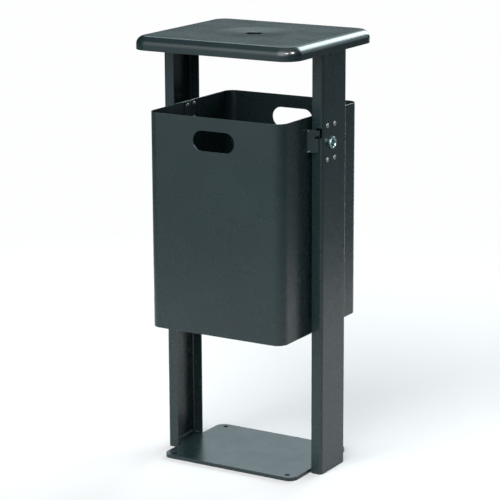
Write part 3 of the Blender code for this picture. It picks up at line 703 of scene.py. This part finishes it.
def make_bezel():
    """The domed ring on the post with the barrel behind it, turned in one piece."""
    radius = (bezel_high.y - bezel_low.y) / 2
    face = bezel_high.x - WEB_OUT
    inner = bezel_low.x - WEB_OUT
    profile = [(PLUG_BORE, face - 0.0022), (0.0086, face - 0.0020), (0.0098, face - 0.0006), (0.0104, face)]
    profile += [(radius - 0.0022, face), (radius - 0.0009, face - 0.0003), (radius - 0.0002, face - 0.0012)]
    profile += [(radius, face - 0.0024), (radius, 0.0012)]
    profile += [(radius - 0.0004, 0.0005), (radius - 0.0008, 0.0003)]
    profile += [(BARREL_RADIUS, 0.0003), (BARREL_RADIUS, inner)]
    profile += [(STEM_BORE, inner), (STEM_BORE, BORE_STEP), (PLUG_BORE, BORE_STEP)]
    made = placed_turn("lock_bezel", profile, 64, outward(1, WEB_OUT, LOCK_Y, LOCK_Z))
    finish_piece(made, "frame", CHROME, ("lock_housing",), 32.0)


def make_plug():
    """The turning plug: a chamfered face, then the stem and the tail that carries the cam."""
    plug_end = -0.0079
    profile = [(0.0, PLUG_FACE), (0.0062, PLUG_FACE), (PLUG_RADIUS, 0.0016), (PLUG_RADIUS, plug_end)]
    profile += [(STEM_RADIUS, plug_end), (STEM_RADIUS, TAIL_START)]
    profile += [(TAIL_RADIUS, TAIL_START), (TAIL_RADIUS, TAIL_END), (0.0, TAIL_END)]
    made = placed_turn("lock_plug", profile, 48, outward(1, WEB_OUT, LOCK_Y, LOCK_Z))
    finish_piece(made, "lock", CHROME, ("lock_core",), 32.0)


def make_key():
    """The raised triangle on the plug, with rounded corners, one of them up."""
    corners = []
    for turn in (0, 120, 240):
        angle = math.radians(turn)
        centre = (LOCK_Y + KEY_REACH * math.sin(angle), LOCK_Z + KEY_REACH * math.cos(angle))
        corners += reversed(arc(centre, KEY_CORNER, 90 - turn - 60, 90 - turn + 60, 5))
    made = slab("lock_triangle", [corners], WEB_OUT + 0.0018, core_high.x, YZ)
    soft_edges(made, 0.0003, 2, 50.0)
    finish_piece(made, "lock", CHROME, ("lock_core",))


# ------------------------------------------------------------------ welds
BEAD_SIDES = 12
RIPPLE_STEPS = 6


def bead(name, start, stop, radius, body, ripple, seed):
    """A straight weld run of overlapping scales, tapered at both ends."""
    run = Vector(stop) - Vector(start)
    total = run.length
    along = run.normalized()
    aside = along.orthogonal().normalized()
    upward = along.cross(aside)
    count = max(8, int(total / (ripple / RIPPLE_STEPS)))
    shape = bmesh.new()
    rows = []
    for step in range(count + 1):
        travelled = total * step / count
        here = Vector(start) + along * travelled
        phase = (travelled / ripple) % 1.0
        scale = 0.80 + 0.20 * math.sqrt(max(0.0, 1.0 - (2 * phase - 1) ** 2))
        scale *= 1.0 + 0.10 * noise.noise(Vector((travelled * 180.0, seed, 0.3)))
        taper = min(1.0, math.sqrt(min(travelled, total - travelled) / (radius * 1.4) + 0.02))
        size = radius * scale * taper
        ring = []
        for turn in range(BEAD_SIDES):
            angle = math.tau * turn / BEAD_SIDES
            offset = aside * math.cos(angle) + upward * math.sin(angle)
            ring.append(shape.verts.new(here + offset * size))
        rows.append(ring)
    for first, second in zip(rows, rows[1:]):
        for i in range(BEAD_SIDES):
            j = (i + 1) % BEAD_SIDES
            shape.faces.new((first[i], first[j], second[j], second[i]))
    shape.faces.new(rows[0])
    shape.faces.new(list(reversed(rows[-1])))
    made = piece_from(name, shape)
    finish_piece(made, body, WELD, (), 60.0)


def foot_welds(side_word, side):
    """The run inside a post's web and the two runs along the base plate's tab."""
    top = base_high.z
    web = side * (WEB_IN - 0.0006)
    bead(f"{side_word}_plate_weld", (web, -0.040, top), (web, 0.046, top), 0.0042, "frame", 0.0040, side)
    for end_word, end in (("front", -1), ("rear", 1)):
        edge = end * (BASE_TAB_DEPTH / 2 + 0.0012)
        start = (side * (FLANGE_TIP + 0.002), edge, top - 0.001)
        stop = (side * (WEB_IN - 0.003), edge, top - 0.001)
        bead(f"{side_word}_tab_weld_{end_word}", start, stop, 0.0024, "frame", 0.003, side * end)


def hook_tacks(side_word, side):
    """Two short tacks between the basket's wall and the root of the hook plate's wing."""
    for word, z, lean in (("low", plate_low.z + 0.0012, 0.004), ("high", 0.8035, -0.004)):
        start = (side * (plate_low.x + 0.0008), -0.0705, z)
        stop = (side * (plate_low.x + 0.0075), -0.0670, z + lean)
        bead(f"{side_word}_hook_tack_{word}", start, stop, 0.0026, "basket", 0.0030, z)


def make_welds():
    for side_word, side in SIDES:
        foot_welds(side_word, side)
        hook_tacks(side_word, side)


# ------------------------------------------------------------------ CAD nodes that keep their shape
def dress_node(made, look):
    weld = made.modifiers.new("weld", "WELD")
    weld.merge_threshold = 0.00002
    soft_edges(made, SHEET_EDGE, 2, 30.0)
    made.data.materials.clear()
    made.data.materials.append(look)


def dress_remaining():
    """Looks and soft edges for the nodes that no finer piece replaces."""
    slots = {row["node"]: row["material_slot"] for row in frame["record"]["subparts"]}
    for node, made in nodes.items():
        if not made.hide_render:
            dress_node(made, LOOKS[slots[node]])


# ------------------------------------------------------------------ stage, light and camera
FLOOR_RADIUS = 3.2
FLOOR_DROP = 0.0004
FLOOR_FADE = (1.5, 2.4)
FLOOR_CLEAR = 0.12
DOME_RADIUS = 30.0


def floor_look():
    """Pale and matt, partly clear, and quite clear towards its rim."""
    made, tree, shader = node_material("floor_look")
    shader.inputs["Base Color"].default_value = (0.95, 0.92, 0.91, 1.0)
    shader.inputs["Roughness"].default_value = 0.9
    shader.inputs["Specular IOR Level"].default_value = 0.0
    clear = tree.nodes.new("ShaderNodeBsdfTransparent")
    mixed = tree.nodes.new("ShaderNodeMixShader")
    place = object_place(tree)
    length = add_node(tree, "ShaderNodeVectorMath", operation="LENGTH")
    tree.links.new(place, length.inputs[0])
    fade = tree.nodes.new("ShaderNodeMapRange")
    fade.interpolation_type = "SMOOTHSTEP"
    tree.links.new(length.outputs["Value"], fade.inputs["Value"])
    fade.inputs["To Min"].default_value = FLOOR_CLEAR
    fade.inputs["From Min"].default_value = FLOOR_FADE[0]
    fade.inputs["From Max"].default_value = FLOOR_FADE[1]
    tree.links.new(fade.outputs["Result"], mixed.inputs[0])
    tree.links.new(shader.outputs[0], mixed.inputs[1])
    tree.links.new(clear.outputs[0], mixed.inputs[2])
    tree.links.new(mixed.outputs[0], tree.nodes["Material Output"].inputs["Surface"])
    return made


def backdrop_look():
    made, tree, shader = node_material("backdrop_look")
    tree.nodes.remove(shader)
    emission = add_node(tree, "ShaderNodeEmission", Strength=0.99)
    emission.inputs["Color"].default_value = (0.995, 1.0, 1.0, 1.0)
    tree.links.new(emission.outputs[0], tree.nodes["Material Output"].inputs["Surface"])
    return made


def stage_piece(name, shape, look):
    mesh = bpy.data.meshes.new(name)
    shape.to_mesh(mesh)
    shape.free()
    mesh.materials.append(look)
    made = bpy.data.objects.new(name, mesh)
    bpy.context.scene.collection.objects.link(made)
    return made


def make_stage():
    """A pale floor, and a white backdrop that only the camera sees."""
    shape = bmesh.new()
    bmesh.ops.create_circle(shape, cap_ends=True, segments=64, radius=FLOOR_RADIUS)
    floor = stage_piece("studio_floor", shape, floor_look())
    floor.location = (0, 0, -FLOOR_DROP)
    shape = bmesh.new()
    bmesh.ops.create_uvsphere(shape, u_segments=48, v_segments=24, radius=DOME_RADIUS)
    dome = stage_piece("studio_backdrop", shape, backdrop_look())
    dome.visible_diffuse = False
    dome.visible_glossy = False
    dome.visible_transmission = False
    dome.visible_shadow = False


# Small square lamps that make the two bright spots on the hood's corner: place and power in watts.
LAMP_SIZE = 0.18
LAMPS = {
    "lamp_front": ((1.93, -2.63, 3.1), 90.0),
    "lamp_rear": ((2.80, -0.77, 3.1), 130.0),
}


def glint_lamp(name, place, power):
    """A lamp aimed at the hood that shows only in reflections."""
    data = bpy.data.lights.new(name, "AREA")
    data.size = LAMP_SIZE
    data.energy = power
    made = bpy.data.objects.new(name, data)
    bpy.context.scene.collection.objects.link(made)
    made.location = place
    direction = Vector((0, 0, hood_high.z)) - made.location
    made.rotation_euler = direction.to_track_quat("-Z", "Y").to_euler()
    made.visible_camera = False
    made.visible_diffuse = False


# Soft lights of the studio: azimuth from +Y towards +X, elevation, the angles from their middle where
# they start to fade and where they end (all in degrees), strength and colour.
NEUTRAL = (0.97, 1.0, 1.02)
COOL = (0.82, 0.99, 1.05)
SOFT_LIGHTS = {
    "front_key": (178, 30, 6, 36, 6.0, NEUTRAL),
    "front_right": (145, 18, 8, 30, 0.4, NEUTRAL),
    "front_left": (210, 14, 8, 30, 1.2, NEUTRAL),
    "rear_low": (0, 15, 4, 12, 14.0, COOL),
    "rear_high": (0, 27, 4, 14, 10.5, COOL),
    "rear_right": (20, 28, 4, 12, 10.5, COOL),
    "rear_right_low": (30, 10, 4, 14, 1.4, COOL),
    "rear_left": (-30, 27, 4, 14, 2.2, COOL),
    "rear_glow": (-6, -15, 3, 9, 3.0, COOL),
    "overhead": (0, 90, 10, 40, 0.85, NEUTRAL),
    "far_floor": (0, -90, 75, 88, 0.3, COOL),
}


def soft_light(tree, direction, azimuth, elevation, fade, end, strength, colour):
    """A round patch of light in the sky, with a soft edge."""
    azimuth, elevation = math.radians(azimuth), math.radians(elevation)
    level = math.cos(elevation)
    axis = (math.sin(azimuth) * level, math.cos(azimuth) * level, math.sin(elevation))
    dot = add_node(tree, "ShaderNodeVectorMath", operation="DOT_PRODUCT")
    tree.links.new(direction, dot.inputs[0])
    dot.inputs[1].default_value = axis
    edge = tree.nodes.new("ShaderNodeMapRange")
    edge.interpolation_type = "SMOOTHSTEP"
    tree.links.new(dot.outputs["Value"], edge.inputs["Value"])
    edge.inputs["From Min"].default_value = math.cos(math.radians(end))
    edge.inputs["From Max"].default_value = math.cos(math.radians(fade))
    edge.inputs["To Max"].default_value = strength
    background = add_node(tree, "ShaderNodeBackground")
    background.inputs["Color"].default_value = (*colour, 1.0)
    tree.links.new(edge.outputs["Result"], background.inputs["Strength"])
    return background.outputs[0]


def make_light():
    world = bpy.data.worlds.new("studio")
    bpy.context.scene.world = world
    world.use_nodes = True
    tree = world.node_tree
    tree.nodes.remove(tree.nodes["Background"])
    direction = tree.nodes.new("ShaderNodeTexCoord").outputs["Generated"]
    total = None
    for values in SOFT_LIGHTS.values():
        light = soft_light(tree, direction, *values)
        if total:
            added = tree.nodes.new("ShaderNodeAddShader")
            tree.links.new(total, added.inputs[0])
            tree.links.new(light, added.inputs[1])
            light = added.outputs[0]
        total = light
    tree.links.new(total, tree.nodes["World Output"].inputs["Surface"])
    for name, (place, power) in LAMPS.items():
        glint_lamp(name, place, power)


CAMERA_PLACE = (2.42268, -4.07467, 1.64463)
CAMERA_YAW = 31.013
CAMERA_PITCH = -13.713
CAMERA_ROLL = -0.286
CAMERA_LENS = 152.06
CAMERA_SHIFT = (0.0105, 0.0057)


def make_camera():
    """The photographed view: from the front right, a little above the hood."""
    yaw = math.radians(CAMERA_YAW)
    pitch = math.radians(CAMERA_PITCH)
    roll = math.radians(CAMERA_ROLL)
    flat = math.cos(pitch)
    forward = Vector((-math.sin(yaw) * flat, math.cos(yaw) * flat, math.sin(pitch)))
    level = Vector((math.cos(yaw), math.sin(yaw), 0.0))
    upright = level.cross(forward)
    right = level * math.cos(roll) + upright * math.sin(roll)
    up = upright * math.cos(roll) - level * math.sin(roll)
    data = bpy.data.cameras.new("camera")
    data.sensor_width = 36.0
    data.lens = CAMERA_LENS
    data.shift_x, data.shift_y = CAMERA_SHIFT
    data.clip_end = 100.0
    made = bpy.data.objects.new("camera", data)
    bpy.context.scene.collection.objects.link(made)
    axes = Matrix((right, up, -forward)).transposed().to_4x4()
    made.matrix_world = Matrix.Translation(CAMERA_PLACE) @ axes
    bpy.context.scene.camera = made


make_hood()
make_studs()
make_nuts()
for word, sign in SIDES:
    make_post(word, sign)
make_base_plate()
make_basket()
rivet_heads()
make_bezel()
make_plug()
make_key()
make_welds()
dress_remaining()
make_stage()
make_light()
make_camera()
bpy.context.scene.view_settings.view_transform = "Standard"
